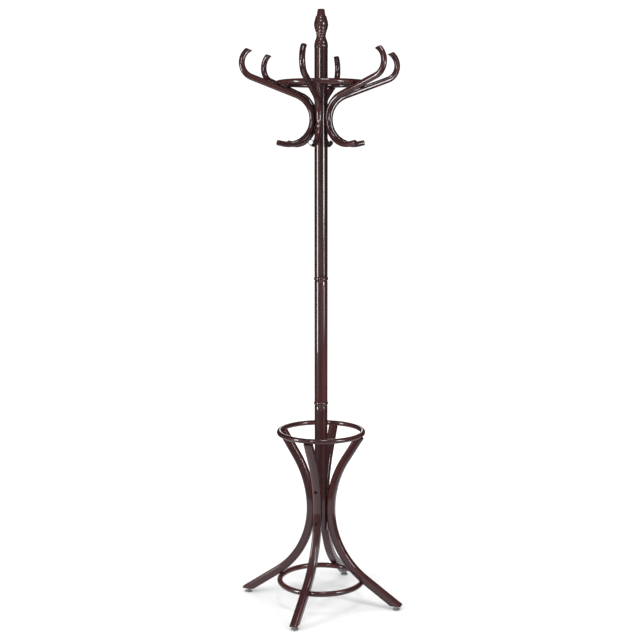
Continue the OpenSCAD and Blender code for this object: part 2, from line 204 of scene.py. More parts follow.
def cut(piece, *cutters):
    """Takes each cutter out of the piece and deletes the cutter."""
    for cutter in cutters:
        change = piece.modifiers.new("cut", "BOOLEAN")
        change.operation = "DIFFERENCE"
        change.solver = "EXACT"
        change.object = cutter
        seen = piece.evaluated_get(bpy.context.evaluated_depsgraph_get())
        made = bpy.data.meshes.new_from_object(seen)
        piece.modifiers.clear()
        old = piece.data
        piece.data = made
        bpy.data.meshes.remove(old)
        bpy.data.objects.remove(cutter)
    piece.data.name = piece.name
    return piece


def joined(name, pieces):
    """One object from several that don't touch."""
    points, faces = [], []
    for piece in pieces:
        first = len(points)
        points += [piece.matrix_world @ v.co for v in piece.data.vertices]
        faces += [[first + i for i in f.vertices] for f in piece.data.polygons]
        bpy.data.objects.remove(piece)
    return mesh_piece(name, points, faces)


def bore(head_r, shank_r, sink, length, place):
    """A cutter for a screw: a recess down to -sink and a shank hole down to -length."""
    above = 30 * MM
    profile = [(shank_r, -length), (shank_r, -sink), (head_r, -sink), (head_r, above)]
    cutter = lathe("bore", profile, HOLE_SIDES)
    cutter.data.transform(place)
    return cutter


def pole_cutter():
    r = POLE_R + PLAY
    return lathe("pole_cutter", [(r, POLE_FOOT - OVERRUN), (r, TOP + OVERRUN)], 192)


def ring_cutter(ring_r, rod_r, z):
    return torus("ring_cutter", ring_r, rod_r + PLAY, z, 360, 48)


# ---- Grain coordinates: every wooden piece is laid out as the straight stick it was bent from ----

def set_grain(piece, across, along, seed):
    """across is (out of the bend, sideways) and along the length, for each corner of each face."""
    mesh = piece.data
    seeded = np.stack([along, np.full(len(along), seed)], 1)
    for name, values in (("across", across), ("along", seeded)):
        layer = mesh.uv_layers.get(name) or mesh.uv_layers.new(name=name)
        layer.data.foreach_set("uv", np.ascontiguousarray(values, np.float32).ravel())


def corners(mesh):
    index = np.zeros(len(mesh.loops), np.int32)
    mesh.loops.foreach_get("vertex_index", index)
    return index


def positions(mesh):
    co = np.zeros(len(mesh.vertices) * 3)
    mesh.vertices.foreach_get("co", co)
    return co.reshape(-1, 3)


def straight_grain(piece, seed):
    """Grain along +Z, for turned pieces."""
    co = positions(piece.data)[corners(piece.data)]
    set_grain(piece, co[:, :2], co[:, 2], seed)


def bent_grain(piece, line, seed):
    """Grain along a line in the XZ plane."""
    co = positions(piece.data)
    start, end = line[:-1, :2], line[1:, :2]
    step = end - start
    length = np.hypot(step[:, 0], step[:, 1])
    before = np.concatenate([[0], np.cumsum(length)[:-1]])
    flat = co[:, [0, 2]]
    to = flat[:, None] - start[None]
    t = np.clip((to * step).sum(2) / length ** 2, 0, 1)
    gap = to - t[..., None] * step
    near = np.argmin((gap ** 2).sum(2), axis=1)
    rows = np.arange(len(co))
    ahead = step[near] / length[near][:, None]
    offset = to[rows, near]
    out = offset[:, 1] * ahead[:, 0] - offset[:, 0] * ahead[:, 1]
    along = before[near] + t[rows, near] * length[near]
    index = corners(piece.data)
    set_grain(piece, np.stack([out, co[:, 1]], 1)[index], along[index], seed)


def ring_grain(piece, ring_r, z, seed):
    """Grain round a ring, with the ends of the bent stick meeting at the back."""
    co = positions(piece.data)
    turn = np.arctan2(co[:, 0], -co[:, 1])
    out = np.hypot(co[:, 0], co[:, 1]) - ring_r
    index = corners(piece.data)
    turn = turn[index]
    first = np.zeros(len(piece.data.polygons), np.int32)
    piece.data.polygons.foreach_get("loop_start", first)
    high, low = np.maximum.reduceat(turn, first), np.minimum.reduceat(turn, first)
    count = np.diff(np.append(first, len(turn)))
    crosses = np.repeat(high - low > math.pi, count)
    turn = np.where(crosses & (turn < 0), turn + 2 * math.pi, turn)
    set_grain(piece, np.stack([out, co[:, 2] - z], 1)[index], ring_r * turn, seed)


END_STATIONS = 6
END_FACING = 0.55


def mark_ends(piece, line):
    """stain is 1 on the sawn ends, where the grain drinks more of it."""
    mesh = piece.data
    values = np.zeros(len(mesh.polygons), np.float32)
    points = line[:, :2]
    for face in mesh.polygons:
        near = int(np.argmin(((points - np.array((face.center.x, face.center.z))) ** 2).sum(1)))
        heading = line[near, 2]
        ahead = Vector((math.cos(heading), 0, math.sin(heading)))
        at_end = near < END_STATIONS or near >= len(points) - END_STATIONS
        values[face.index] = 1.0 if at_end and abs(face.normal.dot(ahead)) > END_FACING else 0.0
    mesh.attributes.new("stain", "FLOAT", "FACE").data.foreach_set("value", values)


# ---- Bent rods ----

def bend(centre, r, start, end, steps, size, skew=0.0):
    """Stations round a bend: distance from the pole's axis, height, heading, size and skew.

    The skew, which slants the sawn end, comes in over the last third.
    """
    side = 1 if end > start else -1
    made = []
    for i in range(steps + 1):
        t = i / steps
        h = spread(start, end, t)
        made.append((centre[0] + side * r * math.sin(h), centre[1] - side * r * math.cos(h), h,
                     spread(size[0], size[1], t), skew * max(0.0, 3 * t - 2)))
    return made


def run(start, end, heading, steps, sizes):
    """Stations on a straight stretch, without its two ends."""
    made = []
    for i in range(1, steps):
        t = i / steps
        place = (spread(start[0], end[0], t), spread(start[1], end[1], t))
        made.append((*place, heading, sizes(t), 0.0))
    return made


def round_section(size, inset, sides=48):
    r = size - inset
    return [(r * math.cos(a), r * math.sin(a))
            for a in (2 * math.pi * j / sides for j in range(sides))]


def leg_section(size, inset, corner_steps=7, side_steps=4):
    """A rounded rectangle, LEG_T out of the bend by LEG_W sideways."""
    r = LEG_EDGE_R - inset
    out, side = LEG_T / 2 - LEG_EDGE_R, LEG_W / 2 - LEG_EDGE_R
    made = []
    for quarter, (sx, sy) in enumerate(((1, 1), (-1, 1), (-1, -1), (1, -1))):
        for i in range(corner_steps + 1):
            a = math.radians(quarter * 90 + 90 * i / corner_steps)
            made.append((sx * out + r * math.cos(a), sy * side + r * math.sin(a)))
        here, (nx, ny) = made[-1], ((-1, 1), (-1, -1), (1, -1), (1, 1))[quarter]
        a = math.radians(quarter * 90 + 90)
        there = (nx * out + r * math.cos(a), ny * side + r * math.sin(a))
        for i in range(1, side_steps):
            t = i / side_steps
            made.append((spread(here[0], there[0], t), spread(here[1], there[1], t)))
    return made


def bent_rod(name, line, section, edge):
    """A rod along the stations, its ends flat with rounded edges of radius edge."""
    rows = []

    def add_row(station, ahead, inset):
        x, z, h, size, skew = station
        row = []
        for p, q in section(size, inset):
            row.append((x + ahead * math.cos(h) - math.sin(h) * p + math.cos(h) * p * skew, q,
                        z + ahead * math.sin(h) + math.cos(h) * p + math.sin(h) * p * skew))
        rows.append(row)

    steps = 5
    add_row(line[0], 0, edge * 1.8)
    for i in range(steps):
        a = math.pi / 2 * i / steps
        add_row(line[0], edge * (1 - math.cos(a)), edge * (1 - math.sin(a)))
    for station in line[1:-1]:
        add_row(station, 0, 0)
    for i in range(steps - 1, -1, -1):
        a = math.pi / 2 * i / steps
        add_row(line[-1], -edge * (1 - math.cos(a)), edge * (1 - math.sin(a)))
    add_row(line[-1], 0, edge * 1.8)
    points = [p for row in rows for p in row]
    return mesh_piece(name, points, skin(len(rows), len(rows[0])))


def turned_copy(piece, name, angle, seed):
    """The same piece turned about the pole, with a grain of its own."""
    mesh = piece.data.copy()
    mesh.name = name
    made = bpy.data.objects.new(name, mesh)
    bpy.context.scene.collection.objects.link(made)
    layer = mesh.uv_layers["along"]
    values = np.zeros(len(mesh.loops) * 2, np.float32)
    layer.data.foreach_get("uv", values)
    values[1::2] = seed
    layer.data.foreach_set("uv", values)
    mesh.transform(Matrix.Rotation(angle, 4, "Z"))
    return made


# ---- Materials ----

def add(tree, kind, values=None, **settings):
    """A new shader node. values sets an input to a number, or links it to an output."""
    made = tree.nodes.new("ShaderNode" + kind)
    for key, value in settings.items():
        setattr(made, key, value)
    for key, value in (values or {}).items():
        if isinstance(value, bpy.types.NodeSocket):
            tree.links.new(value, made.inputs[key])
        else:
            made.inputs[key].default_value = value
    return made


def new_material(name):
    material = bpy.data.materials.new(name)
    material.use_nodes = True
    tree = material.node_tree
    tree.nodes.clear()
    shader = add(tree, "BsdfPrincipled")
    add(tree, "OutputMaterial", {"Surface": shader.outputs[0]})
    return material, tree, shader


def ramp(tree, value, *stops):
    made = add(tree, "ValToRGB", {"Fac": value})
    elements = made.color_ramp.elements
    elements[0].position, elements[0].color = stops[0][0], (*stops[0][1], 1)
    elements[1].position, elements[1].color = stops[-1][0], (*stops[-1][1], 1)
    for position, colour in stops[1:-1]:
        elements.new(position).color = (*colour, 1)
    return made.outputs["Color"]


def remap(tree, value, low, high, to_low, to_high):
    return add(tree, "MapRange", {"Value": value, "From Min": low, "From Max": high,
                                  "To Min": to_low, "To Max": to_high}).outputs["Result"]


def math_node(tree, operation, a, b):
    return add(tree, "Math", {0: a, 1: b}, operation=operation).outputs[0]


def mixed(tree, factor, a, b):
    made = add(tree, "Mix", data_type="RGBA")
    for key, value in ((0, factor), (6, a), (7, b)):
        if isinstance(value, bpy.types.NodeSocket):
            tree.links.new(value, made.inputs[key])
        else:
            made.inputs[key].default_value = value if key == 0 else (*value, 1)
    return made.outputs[2]


# Each layer of the grain: its fineness across and along the stick, its detail and its waviness
FIGURE = (48, 1.4, 3, 0.5)
STREAKS = (420, 5.5, 5, 0.3)
PORES = (1500, 38, 2, 0.0)
PEEL_FINENESS = 150.0
GRAIN_DEPTH = 0.04 * MM
PEEL_DEPTH = 0.1 * MM
SCRATCH_DEPTH = 0.04 * MM
END_STAIN = (0.012, 0.006, 0.006)


def lacquered_wood(name, tones, coat):
    """Mahogany-stained wood under a clear high-gloss lacquer; the grain follows each bent stick."""
    material, tree, shader = new_material(name)
    across = add(tree, "SeparateXYZ", {0: add(tree, "UVMap", uv_map="across").outputs[0]})
    along = add(tree, "SeparateXYZ", {0: add(tree, "UVMap", uv_map="along").outputs[0]})
    stick = add(tree, "CombineXYZ", {0: across.outputs[0], 1: across.outputs[1], 2: along.outputs[0]})
    seed = along.outputs[1]
    stain = add(tree, "Attribute", attribute_name="stain").outputs["Fac"]

    def fibres(across_scale, along_scale, detail, distortion):
        stretched = add(tree, "VectorMath", {0: stick.outputs[0],
                                             1: (across_scale, across_scale, along_scale)},
                        operation="MULTIPLY")
        return add(tree, "TexNoise", {"Vector": stretched.outputs[0], "W": seed, "Scale": 1.0,
                                      "Detail": detail, "Roughness": 0.55, "Distortion": distortion},
                   noise_dimensions="4D").outputs["Fac"]

    figure = fibres(*FIGURE)
    streaks = fibres(*STREAKS)
    pores = remap(tree, fibres(*PORES), 0.6, 0.72, 0, 1)
    tone = math_node(tree, "ADD", math_node(tree, "MULTIPLY", figure, 0.72),
                     math_node(tree, "MULTIPLY", streaks, 0.36))
    colour = ramp(tree, tone, (0.34, tones[0]), (0.54, tones[1]), (0.72, tones[2]))
    colour = mixed(tree, math_node(tree, "MULTIPLY", pores, 0.55), colour, tones[0])
    darker = math_node(tree, "MULTIPLY", stain, 0.62)
    colour = mixed(tree, darker, colour, END_STAIN)
    relief = math_node(tree, "SUBTRACT", math_node(tree, "MULTIPLY", streaks, 0.6), pores)
    grain_bump = add(tree, "Bump", {"Strength": 0.12, "Distance": GRAIN_DEPTH, "Height": relief})
    peel = add(tree, "TexNoise", {"Vector": stick.outputs[0], "W": seed, "Scale": PEEL_FINENESS,
                                  "Detail": 1.0}, noise_dimensions="4D").outputs["Fac"]
    peel_bump = add(tree, "Bump", {"Strength": 0.04, "Distance": PEEL_DEPTH, "Height": peel})
    rough = remap(tree, math_node(tree, "ADD", streaks, math_node(tree, "MULTIPLY", stain, 0.8)),
                  0.3, 1.5, 0.34, 0.62)
    for key, value in {"Base Color": colour, "Roughness": rough, "Normal": grain_bump.outputs[0],
                       "Coat Normal": peel_bump.outputs[0]}.items():
        tree.links.new(value, shader.inputs[key])
    shader.inputs["Specular IOR Level"].default_value = 0.25
    shader.inputs["Coat Weight"].default_value = 1.0
    shader.inputs["Coat Roughness"].default_value = coat
    shader.inputs["Coat IOR"].default_value = 1.5
    return material


def metal(name, colour, rough):
    """Plated metal with a mottled gloss and fine scratches."""
    material, tree, shader = new_material(name)
    place = add(tree, "TexCoord").outputs["Object"]
    mottle = add(tree, "TexNoise", {"Vector": place, "Scale": 420.0, "Detail": 3.0}).outputs["Fac"]
    scuffs = add(tree, "TexNoise", {"Vector": place, "Scale": 1900.0, "Detail": 2.0,
                                    "Distortion": 2.5}).outputs["Fac"]
    dark = tuple(c * 0.6 for c in colour)
    tree.links.new(ramp(tree, mottle, (0.35, dark), (0.62, colour)), shader.inputs["Base Color"])
    worn = remap(tree, scuffs, 0.3, 0.7, rough * 0.75, rough * 1.35)
    tree.links.new(worn, shader.inputs["Roughness"])
    bump = add(tree, "Bump", {"Strength": 0.3, "Distance": SCRATCH_DEPTH, "Height": scuffs})
    tree.links.new(bump.outputs[0], shader.inputs["Normal"])
    shader.inputs["Metallic"].default_value = 1.0
    return material


def mahogany(lightness):
    """The dark, middle and light tones of the stain. Less lightness darkens them, as painted shade."""
    tones = ((0.008, 0.0020, 0.0026), (0.031, 0.0070, 0.0078), (0.078, 0.0165, 0.0125))
    return tuple(tuple(lightness * value for value in tone) for tone in tones)


TURNED_GLOSS = 0.05
BENT_GLOSS = 0.06
pole_wood = lacquered_wood("pole_mahogany", mahogany(1.0), TURNED_GLOSS)
# The upper pole's wood is a darker copy of the pole's: painted shade for the top of the stand, which
# stands in less light.
upper_wood_painted_shade = lacquered_wood("upper_pole_mahogany_painted_shade", mahogany(0.6), TURNED_GLOSS)
# The finial's wood is a darker copy too: painted shade for the top of the stand.
finial_wood_painted_shade = lacquered_wood("finial_mahogany_painted_shade", mahogany(0.78), TURNED_GLOSS)
bent_wood = lacquered_wood("bent_mahogany", mahogany(1.0), BENT_GLOSS)
# The arms' wood is a darker copy of the bent wood: painted shade for the top of the stand.
arm_wood_painted_shade = lacquered_wood("arm_mahogany_painted_shade", mahogany(0.78), BENT_GLOSS)
steel = metal("zinc_plated_steel", (0.40, 0.38, 0.37), 0.40)
black_steel = metal("black_oxide_steel", (0.045, 0.045, 0.05), 0.34)
brass = metal("brass", (0.60, 0.42, 0.16), 0.30)
glide_metal = metal("glide_metal", (0.50, 0.53, 0.52), 0.40)


def place_piece(piece, body, slot, material, *nodes):
    """Gives the piece its material, and lets it stand for these CAD nodes."""
    shaped(piece)
    piece.data.materials.clear()
    piece.data.materials.append(material)
    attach(piece, body)
    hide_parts(*nodes)


# ---- Pole ----

def bead_profile(top):
    """A groove and a turned bead that end at the height top."""
    shaft_top = top - BEAD_H - GROOVE_H
    neck = POLE_R - GROOVE
    made = [(POLE_R - 0.15 * MM, shaft_top - 0.5 * MM), (POLE_R - 0.5 * MM, shaft_top + 0.1 * MM)]
    made += arc(POLE_R - 0.1 * MM, shaft_top + GROOVE_H * 0.62, GROOVE, -120, -215, 6)
    made += arc(neck, top - BEAD_H / 2, GROOVE + BEAD_PROUD, -84, 84, 24, BEAD_H / 2)
    return made


def pole_length(name, low, high, bead):
    edge = 1 * MM
    profile = [(POLE_R - edge * 1.9, low)] + arc(POLE_R - edge, low + edge, edge, -90, 0, 5)
    top = high - BEAD_H - GROOVE_H - 1 * MM if bead else high
    rows = max(2, round((top - low) / (20 * MM)))
    profile += [(POLE_R, spread(low + edge, top, i / rows)) for i in range(1, rows + 1)]
    if bead:
        profile += bead_profile(high)
        profile += [(POLE_R - GROOVE - 1 * MM, high)]
    return lathe(name, profile)


upper_pole = pole_length("pole_upper", HIGH_JOINT, FINIAL_Z, False)
middle_pole = pole_length("pole_middle", LOW_JOINT, HIGH_JOINT, True)
lower_pole = pole_length("pole_lower", POLE_FOOT, LOW_JOINT, True)
for seed, (piece, node, wood) in enumerate(((upper_pole, "upper_pole", upper_wood_painted_shade),
                                            (middle_pole, "middle_pole", pole_wood),
                                            (lower_pole, "lower_pole", pole_wood))):
    straight_grain(piece, 3.1 + seed)
    place_piece(piece, "stand", "wood_pole", wood, node)


# ---- Finial: a turned vase carved all over with staggered hollows ----

FINIAL_H = TOP - FINIAL_Z
BULB_R = 22.25 * MM
BASE_R = POLE_R + 1.25 * MM
WAIST_R = 14.75 * MM
NECK_R = 13.75 * MM
TIP_R = 10.25 * MM
SHOULDER_W = 2.5 * MM
BASE_H = 14.5 * MM
BASE_TUCK = 1 * MM
WAIST_H = 35.5 * MM
BULB_H = FINIAL_H - 45 * MM
NECK_H = FINIAL_H - 21 * MM
LIP_H = 0.8 * MM
SHOULDER_POWER = 1.35
CARVED_COLUMNS = 16
CARVED_PITCH = 9.2 * MM
CARVED_DEPTH = 1.25 * MM
CARVED_FADE = 2 * MM
# In pitches of the rows: the columns' pitch, and the radius of a hollow
COLUMN_PITCH = 0.87
HOLLOW_R = 0.575


def eased(a, b, t):
    """From a to b along half a cosine wave."""
    return spread(a, b, (1 - math.cos(math.pi * t)) / 2)


def finial_radius(h):
    """Radius of the turned finial at height h above its seat."""
    if h < BASE_H:
        lift = (h - BASE_H / 2) / (BASE_H / 2)
        return spread(POLE_R - BASE_TUCK, BASE_R, math.sqrt(max(0.0, 1 - lift * lift)))
    if h < WAIST_H:
        return eased(POLE_R, WAIST_R, (h - BASE_H) / (WAIST_H - BASE_H))
    if h < BULB_H:
        return eased(WAIST_R, BULB_R, (h - WAIST_H) / (BULB_H - WAIST_H))
    if h < NECK_H:
        t = ((h - BULB_H) / (NECK_H - BULB_H)) ** SHOULDER_POWER
        return spread(BULB_R, NECK_R + SHOULDER_W, t)
    if h < NECK_H + LIP_H:
        return spread(NECK_R + SHOULDER_W, NECK_R, (h - NECK_H) / LIP_H)
    return spread(NECK_R, TIP_R, (h - NECK_H) / (FINIAL_H - NECK_H))


def carving(turn, h):
    """Depth, from 0 to 1, of the hollow at this turn and height; neighbours are staggered."""
    column = turn / (2 * math.pi) * CARVED_COLUMNS
    row = h / CARVED_PITCH
    best = math.inf
    for c in (math.floor(column), math.floor(column) + 1):
        shift = 0.5 * (c % 2)
        r = round(row - shift) + shift
        for rr in (r - 1, r, r + 1):
            best = min(best, math.hypot((column - c) * COLUMN_PITCH, row - rr))
    return max(0.0, 1 - (best / HOLLOW_R) ** 2)


def carved_finial():
    sides, rows = 256, 190
    edge = 1.2 * MM
    points, depths = [], []
    heights = [FINIAL_H * i / rows for i in range(rows)]
    for h in heights:
        fade = (min(1.0, max(0.0, (h - 1.5 * MM) / CARVED_FADE))
                * min(1.0, max(0.0, (NECK_H - 1 * MM - h) / CARVED_FADE)))
        for j in range(sides):
            a = 2 * math.pi * j / sides
            depth = carving(a, h) * fade
            r = finial_radius(h) - CARVED_DEPTH * depth
            points.append((r * math.cos(a), r * math.sin(a), FINIAL_Z + h))
            depths.append(depth)
    for angle in (0, 30, 60, 90):
        a = math.radians(angle)
        r = TIP_R - edge + edge * math.cos(a)
        for j in range(sides):
            b = 2 * math.pi * j / sides
            points.append((r * math.cos(b), r * math.sin(b), TOP - edge + edge * math.sin(a)))
            depths.append(0)
    piece = mesh_piece("finial_carved", points, skin(rows + 4, sides))
    # The hollows are darker and rougher, the more so the deeper they are.
    stain = piece.data.attributes.new("stain", "FLOAT", "POINT")
    stain.data.foreach_set("value", np.array(depths, np.float32) * 0.5)
    return piece


finial = carved_finial()
straight_grain(finial, 7.7)
place_piece(finial, "stand", "wood_pole", finial_wood_painted_shade, "finial")
shaped(finial, 60)

# ---- Arms and hat ring ----

SEAT_Z = TOP - ARM_DROP
CURL_X = POLE_R + ARM_R - ARM_COPE + CURL_R
RUN_START = (CURL_X - CURL_R * math.sin(ARM_SLOPE), SEAT_Z + CURL_R * math.cos(ARM_SLOPE))
HOOK_X = ARM_REACH - HOOK_R
RUN_END_X = HOOK_X + HOOK_R * math.sin(ARM_SLOPE)
RUN_END = (RUN_END_X, RUN_START[1] + (RUN_END_X - RUN_START[0]) * math.tan(ARM_SLOPE))
HOOK_Z = RUN_END[1] + HOOK_R * math.cos(ARM_SLOPE)
HAT_ROD_R = size_of("hat_ring").z / 2
HAT_RING_R = size_of("hat_ring").x / 2 - HAT_ROD_R
HAT_RING_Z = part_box("hat_ring")[1].z - HAT_ROD_R
HAT_PIN_L = 2 * HAT_ROD_R + 9 * MM
CURL_TAPER = 0.5 * MM
HOOK_TAPER = 0.8 * MM


def arm_line():
    heading = math.pi + CURL_END_SLOPE
    curl_foot = (CURL_X + CURL_R * math.sin(CURL_END_SLOPE), SEAT_Z - CURL_R * math.cos(CURL_END_SLOPE))
    tip = (curl_foot[0] + CURL_END_L * math.cos(CURL_END_SLOPE),
           curl_foot[1] + CURL_END_L * math.sin(CURL_END_SLOPE))
    foot_r = CURL_TIP_R + CURL_TAPER
    hook_r = HOOK_TIP_R + HOOK_TAPER
    line = [(*tip, heading, CURL_TIP_R, 0.0)]
    line += run(tip, curl_foot, heading, 8, lambda t: spread(CURL_TIP_R, foot_r, t))
    line += bend((CURL_X, SEAT_Z), CURL_R, heading, ARM_SLOPE, 84, (foot_r, ARM_R))
    line += run(RUN_START, RUN_END, ARM_SLOPE, 32,
                lambda t: spread(ARM_R, hook_r, max(0.0, t * 1.6 - 0.6)))
    line += bend((HOOK_X, HOOK_Z), HOOK_R, ARM_SLOPE, HOOK_END_TURN, 72, (hook_r, HOOK_TIP_R), BEAK)
    return np.array(line)


def screw_face(z):
    """Distance from the pole's axis to the recessed face of an arm screw's head."""
    return CURL_X - math.sqrt((CURL_R - ARM_R + 1 * MM) ** 2 - (SEAT_Z - z) ** 2) - 0.4 * MM


def outward(x, z):
    """A place on +X's side of the pole whose own +Z points away from it."""
    return Matrix.Translation((x, 0, z)) @ Matrix.Rotation(math.pi / 2, 4, "Y")


def hat_pin_place():
    return (Matrix.Translation((HAT_RING_R, 0, HAT_RING_Z)) @ Matrix.Rotation(-ARM_SLOPE, 4, "Y")
            @ Matrix.Translation((0, 0, HAT_ROD_R - 1 * MM)))


def make_arms():
    line = arm_line()
    arm = bent_rod("arm_pattern", line, round_section, 1.3 * MM)
    holes = [bore(SCREW_RECESS_R, SCREW_R, SCREW_SINK, SCREW_HOLE_L, outward(screw_face(z), z))
             for z in (SEAT_Z - SCREW_DROP, SEAT_Z - SCREW_DROP - SCREW_PITCH)]
    holes.append(bore(PIN_R, PIN_R, PIN_SINK, HAT_PIN_L, hat_pin_place()))
    cut(arm, pole_cutter(), ring_cutter(HAT_RING_R, HAT_ROD_R, HAT_RING_Z), joined("holes", holes))
    mark_ends(arm, line)
    bent_grain(arm, line, 0)
    for i in range(ARM_COUNT):
        turn = ARM_TURN + i * 2 * math.pi / ARM_COUNT
        piece = turned_copy(arm, f"bent_arm_{i + 1}", turn, 11.3 + 2.7 * i)
        place_piece(piece, "stand", "wood_bent", arm_wood_painted_shade, f"arm_{i + 1}")
    bpy.data.objects.remove(arm)


def make_ring(name, node, ring_r, rod_r, z, count, turn, pin_place, pin_l, seed):
    ring = torus(name, ring_r, rod_r, z)
    holes = []
    for i in range(count):
        place = Matrix.Rotation(turn + i * 2 * math.pi / count, 4, "Z") @ pin_place
        holes.append(bore(PIN_RECESS_R, PIN_R, RING_PIN_SINK, pin_l, place))
    cut(ring, joined("holes", holes))
    ring_grain(ring, ring_r, z, seed)
    place_piece(ring, "stand", "wood_bent", bent_wood, node)


make_arms()
make_ring("hat_ring_rod", "hat_ring", HAT_RING_R, HAT_ROD_R, HAT_RING_Z, ARM_COUNT, ARM_TURN,
          hat_pin_place(), HAT_PIN_L, 31.1)

# ---- Legs and their rings ----

WAIST_X = POLE_R + LEG_T / 2 - LEG_COPE
LOW_BEND_X = WAIST_X + LOW_BEND_R
KNEE_X = LOW_BEND_X - LOW_BEND_R * math.cos(LOW_LEAN)
KNEE_DROP = LOW_BEND_R * math.sin(LOW_LEAN)
WAIST_Z = GLIDE_H + 1 * MM + (FOOT_REACH - KNEE_X) / math.tan(LOW_LEAN) + KNEE_DROP
LEG_END_X = FOOT_REACH + FOOT_END
SHOULDER = (WAIST_X + HIGH_BEND_R * (1 - math.cos(HIGH_LEAN)),
            WAIST_Z + HIGH_BEND_R * math.sin(HIGH_LEAN))
LEG_TOP_Z = WAIST_Z + LEG_TOP_RISE
LEG_TOP = (SHOULDER[0] + (LEG_TOP_Z - SHOULDER[1]) * math.tan(HIGH_LEAN), LEG_TOP_Z)
BOLT_ZS = (WAIST_Z - BOLT_DROP, WAIST_Z - BOLT_DROP + BOLT_PITCH)
UMBRELLA_ROD_R = size_of("umbrella_ring").z / 2
UMBRELLA_R = size_of("umbrella_ring").x / 2 - UMBRELLA_ROD_R
UMBRELLA_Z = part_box("umbrella_ring")[1].z - UMBRELLA_ROD_R
LOW_ROD_R = size_of("lower_ring").z / 2
LOW_RING_R = size_of("lower_ring").x / 2 - LOW_ROD_R
LOW_RING_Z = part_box("lower_ring")[1].z - LOW_ROD_R
UMBRELLA_PIN_L = 2 * UMBRELLA_ROD_R + 20 * MM
LOW_PIN_L = 2 * LOW_ROD_R + 14 * MM
LOW_RING_LEAN = math.atan2(LOW_BEND_X - LOW_RING_R, WAIST_Z - LOW_RING_Z)


# Wood left past the foot for the saw to take off
SAW_WASTE = 30 * MM


def leg_line():
    foot_x = LEG_END_X + SAW_WASTE
    foot = (foot_x, WAIST_Z - KNEE_DROP - (foot_x - KNEE_X) / math.tan(LOW_LEAN))
    knee = (KNEE_X, WAIST_Z - KNEE_DROP)
    heading = math.pi / 2 + LOW_LEAN
    line = [(*foot, heading, 1.0, 0.0)]
    line += run(foot, knee, heading, 30, lambda t: 1.0)
    line += bend((LOW_BEND_X, WAIST_Z), LOW_BEND_R, heading, math.pi / 2, 56, (1, 1))
    line += bend((WAIST_X + HIGH_BEND_R, WAIST_Z), HIGH_BEND_R, math.pi / 2, math.pi / 2 - HIGH_LEAN,
                 36, (1, 1))[1:]
    line += run(SHOULDER, LEG_TOP, math.pi / 2 - HIGH_LEAN, 24, lambda t: 1.0)
    line += [(*LEG_TOP, math.pi / 2 - HIGH_LEAN, 1.0, 0.0)]
    return np.array(line)


def saw_foot(leg):
    """Saws the foot off upright at its end and level above the glide, and eases the sawn edges."""
    bm = bmesh.new()
    bm.from_mesh(leg.data)
    for place, away in (((LEG_END_X, 0, 0), (1, 0, 0)), ((0, 0, GLIDE_H), (0, 0, -1))):
        whole = bm.verts[:] + bm.edges[:] + bm.faces[:]
        bmesh.ops.bisect_plane(bm, geom=whole, plane_co=place, plane_no=away, clear_outer=True)
        open_edges = [e for e in bm.edges if e.is_boundary]
        bmesh.ops.edgeloop_fill(bm, edges=open_edges)
    bmesh.ops.recalc_face_normals(bm, faces=bm.faces)
    square = [f for f in bm.faces if max(abs(f.normal.x), abs(f.normal.z)) > 0.999]
    sawn = [f for f in square if f.calc_area() > 50 * MM * MM
            and f.calc_center_median().x > FOOT_REACH - 80 * MM]
    rim = {e for f in sawn for e in f.edges}
    bmesh.ops.bevel(bm, geom=list(rim), offset=1 * MM, segments=3, affect="EDGES", profile=0.5,
                    clamp_overlap=True)
    bm.to_mesh(leg.data)
    bm.free()


def bolt_face(z):
    """Distance from the pole's axis to the recessed face of a leg bolt's head."""
    r = LOW_BEND_R if z < WAIST_Z else HIGH_BEND_R
    return WAIST_X + r - math.sqrt((r - LEG_T / 2) ** 2 - (WAIST_Z - z) ** 2) - 1.2 * MM


def umbrella_pin_place():
    return (Matrix.Translation((UMBRELLA_R, 0, UMBRELLA_Z)) @ Matrix.Rotation(HIGH_LEAN, 4, "Y")
            @ Matrix.Translation((0, 0, UMBRELLA_ROD_R - 1 * MM)))


def low_pin_place():
    return (Matrix.Translation((LOW_RING_R, 0, LOW_RING_Z))
            @ Matrix.Rotation(math.pi + LOW_RING_LEAN, 4, "Y")
            @ Matrix.Translation((0, 0, LOW_ROD_R - 1 * MM)))


def make_legs():
    line = leg_line()
    leg = bent_rod("leg_pattern", line, leg_section, 1.2 * MM)
    saw_foot(leg)
    holes = [bore(BOLT_RECESS_R, BOLT_R, BOLT_SINK, BOLT_HOLE_L, outward(bolt_face(z), z))
             for z in BOLT_ZS]
    holes.append(bore(PIN_R, PIN_R, PIN_SINK, UMBRELLA_PIN_L, umbrella_pin_place()))
    holes.append(bore(PIN_R, PIN_R, PIN_SINK, LOW_PIN_L, low_pin_place()))
    holes.append(lathe("insert_hole", [(INSERT_R, 0), (INSERT_R, GLIDE_H + INSERT_L)], HOLE_SIDES))
    holes[-1].data.transform(Matrix.Translation((FOOT_REACH, 0, 0)))
    cut(leg, pole_cutter(), ring_cutter(UMBRELLA_R, UMBRELLA_ROD_R, UMBRELLA_Z),
        ring_cutter(LOW_RING_R, LOW_ROD_R, LOW_RING_Z), joined("holes", holes))
    mark_ends(leg, line)
    bent_grain(leg, line, 0)
    for i in range(LEG_COUNT):
        turn = LEG_TURN + i * 2 * math.pi / LEG_COUNT
        piece = turned_copy(leg, f"bent_leg_{i + 1}", turn, 41.9 + 3.3 * i)
        place_piece(piece, "stand", "wood_bent", bent_wood, f"leg_{i + 1}")
    bpy.data.objects.remove(leg)


make_legs()
make_ring("umbrella_ring_rod", "umbrella_ring", UMBRELLA_R, UMBRELLA_ROD_R, UMBRELLA_Z, LEG_COUNT,
          LEG_TURN, umbrella_pin_place(), UMBRELLA_PIN_L, 33.7)
make_ring("lower_ring_rod", "lower_ring", LOW_RING_R, LOW_ROD_R, LOW_RING_Z, LEG_COUNT, LEG_TURN,
          low_pin_place(), LOW_PIN_L, 36.2)

# ---- Glides ----


